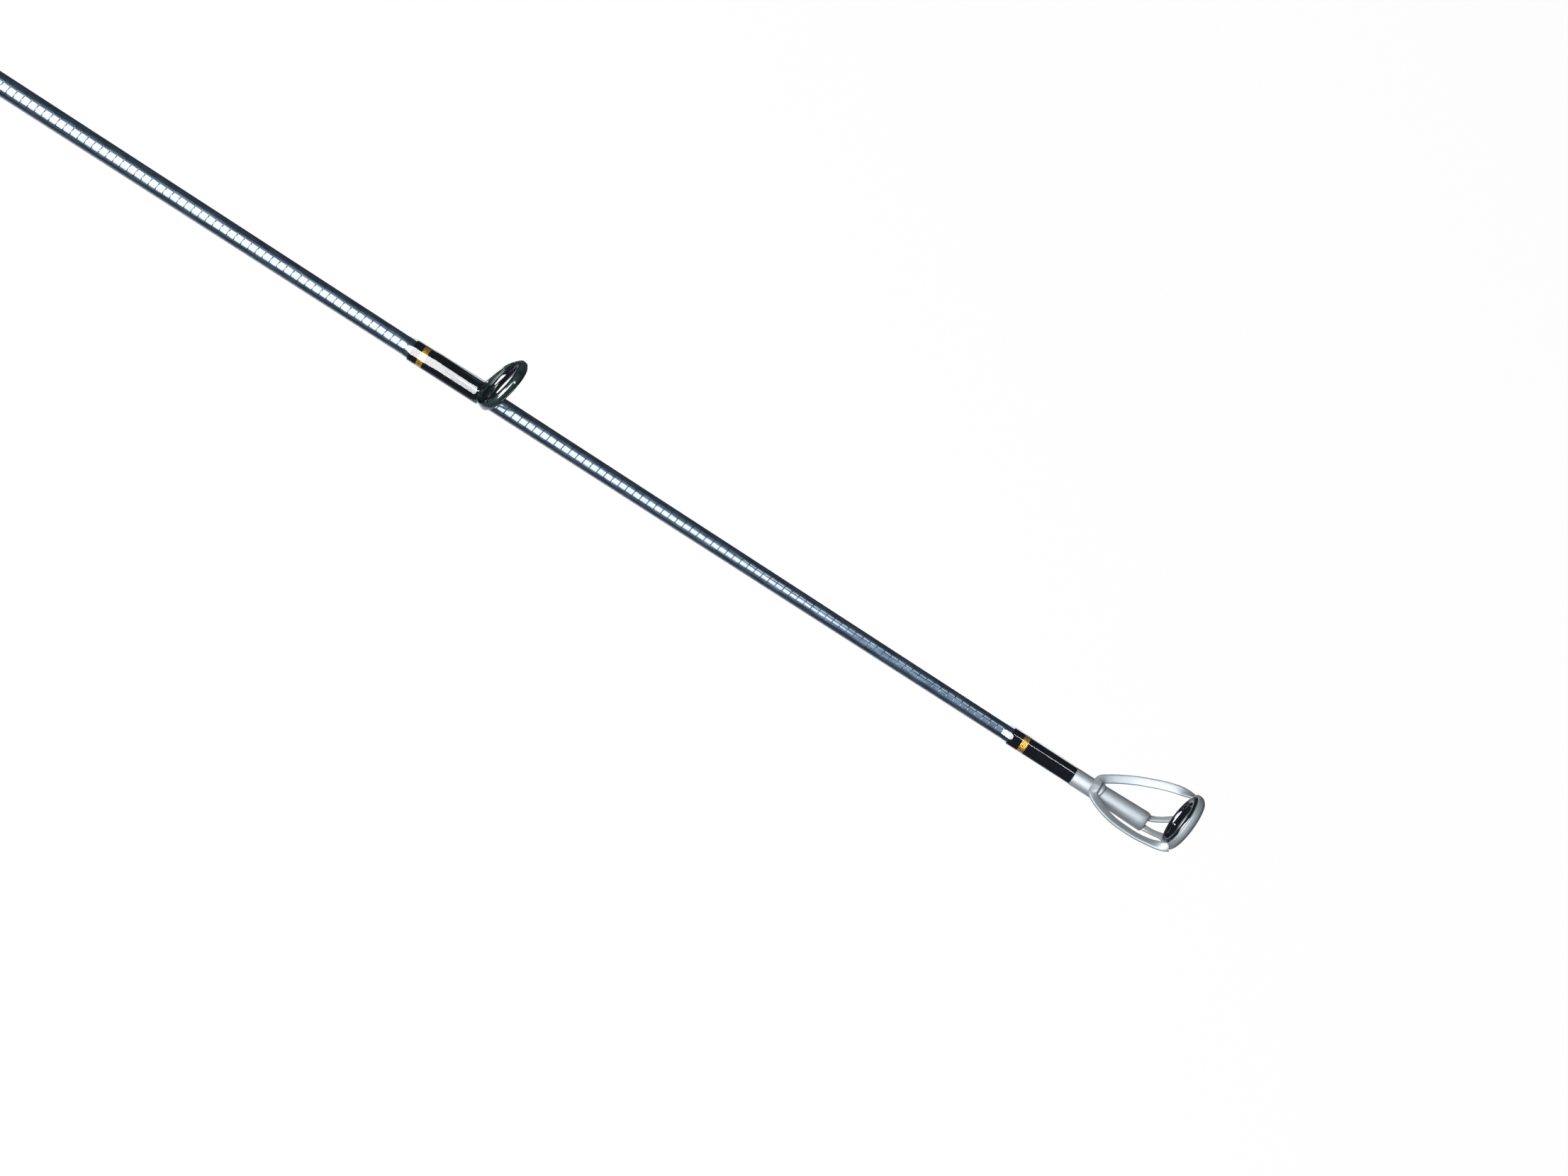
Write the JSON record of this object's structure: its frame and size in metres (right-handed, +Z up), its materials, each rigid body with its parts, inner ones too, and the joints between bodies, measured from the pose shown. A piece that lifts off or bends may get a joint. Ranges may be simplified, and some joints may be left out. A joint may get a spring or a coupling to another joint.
{
  "type": "fishing rod",
  "caption": "Two-piece casting rod: tapered ribbed blank, leaning ring guides on thread wraps, forked tip-top, screw-hood reel seat with trigger and foam grips.",
  "frame": {"origin": "centre of the flat end of the butt cap, on the axis of the rod", "axes": "+X along the rod from butt to tip; +Z towards the side that carries the guides and the reel; +Y to the left, looking along +X with +Z up"},
  "size_m": [1.83, 0.03, 0.042],
  "materials": {
    "blank": "glossy unsanded carbon blank, dark navy, fine tape ridges",
    "spigot": "ground carbon, satin",
    "guide_frame": "gloss gunmetal with a green cast",
    "ceramic": "polished black ceramic",
    "thread": "black nylon thread under epoxy, gloss",
    "gold_thread": "metallic gold thread",
    "epoxy": "clear gloss epoxy",
    "tip_metal": "satin blasted stainless",
    "cap_rubber": "matte black rubber",
    "foam": "fine-celled black EVA foam",
    "arbor": "bushing foam, unseen",
    "seat_plastic": "satin black moulded nylon",
    "hood_metal": "brushed stainless",
    "keeper_metal": "stainless wire",
    "gold_metal": "gold anodised aluminium, satin"
  },
  "bodies": {
    "butt_section": {"butt_blank": "blank", "ferrule_spigot": "spigot", "guide_6_frame": "guide_frame", "guide_6_ring": "ceramic", "guide_6_wrap": "thread", "guide_6_trim": "gold_thread", "guide_6_epoxy": "epoxy", "ferrule_butt_wrap": "thread", "ferrule_butt_trim": "gold_thread", "ferrule_butt_epoxy": "epoxy", "butt_cap": "cap_rubber", "butt_trim": "gold_metal", "rear_grip": "foam", "rear_check": "gold_metal", "seat_arbor": "arbor", "reel_seat": "seat_plastic", "fixed_hood": "hood_metal", "fore_grip": "foam", "winding_check": "gold_metal", "keeper_foot": "keeper_metal", "keeper_wrap": "thread"},
    "tip_section": {"tip_blank": "blank", "guide_1_frame": "guide_frame", "guide_1_ring": "ceramic", "guide_1_wrap": "thread", "guide_1_trim": "gold_thread", "guide_1_epoxy": "epoxy", "guide_2_frame": "guide_frame", "guide_2_ring": "ceramic", "guide_2_wrap": "thread", "guide_2_trim": "gold_thread", "guide_2_epoxy": "epoxy", "guide_3_frame": "guide_frame", "guide_3_ring": "ceramic", "guide_3_wrap": "thread", "guide_3_trim": "gold_thread", "guide_3_epoxy": "epoxy", "guide_4_frame": "guide_frame", "guide_4_ring": "ceramic", "guide_4_wrap": "thread", "guide_4_trim": "gold_thread", "guide_4_epoxy": "epoxy", "guide_5_frame": "guide_frame", "guide_5_ring": "ceramic", "guide_5_wrap": "thread", "guide_5_trim": "gold_thread", "guide_5_epoxy": "epoxy", "tiptop_tube": "tip_metal", "tiptop_frame": "tip_metal", "tiptop_ring": "ceramic", "tiptop_wrap": "thread", "tiptop_trim": "gold_thread", "tiptop_epoxy": "epoxy", "ferrule_tip_wrap": "thread", "ferrule_tip_trim": "gold_thread", "ferrule_tip_epoxy": "epoxy"},
    "moving_hood": {"moving_hood": "hood_metal"},
    "nut": {"locking_nut": "seat_plastic", "nut_sleeve": "foam"},
    "keeper": {"keeper_loop": "keeper_metal"}
  },
  "joints": [
    {"name": "ferrule_slide", "type": "slide", "parent": "butt_section", "child": "tip_section", "axis": [1, 0, 0], "range_m": [0, 0.095]},
    {"name": "hood_slide", "type": "slide", "parent": "butt_section", "child": "moving_hood", "axis": [-1, 0, 0], "range_m": [0, 0.016]},
    {"name": "nut_spin", "type": "hinge", "parent": "moving_hood", "child": "nut", "pos_m": [0.2892, 0, 0], "axis": [-1, 0, 0], "range_deg": [0, 2880]},
    {"name": "keeper_swing", "type": "hinge", "parent": "butt_section", "child": "keeper", "pos_m": [0.3802, 0, -0.0068], "axis": [0, 1, 0], "range_deg": [-80, 80]}
  ],
  "couplings": [
    {"joint": "hood_slide", "follows": "nut_spin", "m_per_rad": 0.00031831}
  ]
}
